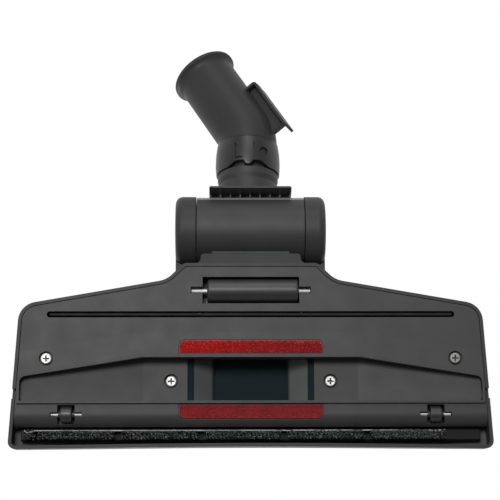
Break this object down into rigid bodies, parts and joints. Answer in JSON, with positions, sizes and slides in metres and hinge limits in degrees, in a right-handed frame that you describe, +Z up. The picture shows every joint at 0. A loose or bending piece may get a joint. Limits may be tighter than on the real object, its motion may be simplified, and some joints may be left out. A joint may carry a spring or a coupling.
{
  "type": "vacuum floor brush head",
  "caption": "Wide vacuum cleaner floor head with tilting neck, swivel elbow, rear roller, front wheels, red lint strips and a pedal that drops the bristles",
  "frame": {"origin": "on the floor below the middle of the suction mouth", "axes": "+X along the width to the right, +Y forward, +Z up, sole down"},
  "size_m": [0.2938, 0.2624, 0.0769],
  "materials": {
    "black_plastic": "satin",
    "roller_plastic": "satin",
    "bright_steel": "polished",
    "zinc_steel": "plated",
    "red_velvet": "pile",
    "black_bristle": "fibre",
    "black_rubber": "matte"
  },
  "bodies": {
    "head": {"top_cover": "black_plastic", "sole_plate": "black_plastic", "air_duct": "black_plastic", "rear_lint_strip": "red_velvet", "front_lint_strip": "red_velvet", "sole_screws_outer": "zinc_steel", "sole_screws_inner": "zinc_steel", "rear_roller_axle": "bright_steel", "front_axle_left": "bright_steel", "front_axle_right": "bright_steel", "pedal_pin": "bright_steel"},
    "neck": {"tilt_barrel": "black_plastic", "swivel_seal": "black_rubber"},
    "wand_elbow": {"elbow": "black_plastic", "swivel_collar": "black_plastic"},
    "roller": {"rear_roller": "roller_plastic"},
    "wheel_left": {"front_wheel_left": "roller_plastic"},
    "wheel_right": {"front_wheel_right": "roller_plastic"},
    "pedal": {"foot_pedal": "black_plastic"},
    "brush": {"brush_frame": "black_plastic", "front_bristles": "black_bristle", "rear_wiper": "black_rubber"}
  },
  "joints": [
    {"name": "neck_tilt", "type": "hinge", "parent": "head", "child": "neck", "pos_m": [0, -0.096, 0.024], "axis": [-1, 0, 0], "range_deg": [-10, 40]},
    {"name": "elbow_swivel", "type": "hinge", "parent": "neck", "child": "wand_elbow", "pos_m": [-0.0013, -0.096, 0.024], "axis": [0, -0.9848, 0.1736], "continuous": true},
    {"name": "rear_roller_spin", "type": "hinge", "parent": "head", "child": "roller", "pos_m": [0, -0.0555, 0.0074], "axis": [1, 0, 0], "continuous": true},
    {"name": "front_wheel_left_spin", "type": "hinge", "parent": "head", "child": "wheel_left", "pos_m": [-0.1122, 0.0206, 0.0052], "axis": [1, 0, 0], "continuous": true},
    {"name": "front_wheel_right_spin", "type": "hinge", "parent": "head", "child": "wheel_right", "pos_m": [0.1122, 0.0206, 0.0052], "axis": [1, 0, 0], "continuous": true},
    {"name": "pedal_rock", "type": "hinge", "parent": "head", "child": "pedal", "pos_m": [0, -0.047, 0.036], "axis": [-1, 0, 0], "range_deg": [0, 16]},
    {"name": "brush_drop", "type": "slide", "parent": "head", "child": "brush", "axis": [0, 0, -1], "range_m": [0, 0.007]}
  ],
  "couplings": [
    {"joint": "brush_drop", "follows": "pedal_rock", "m_per_rad": 0.025}
  ]
}
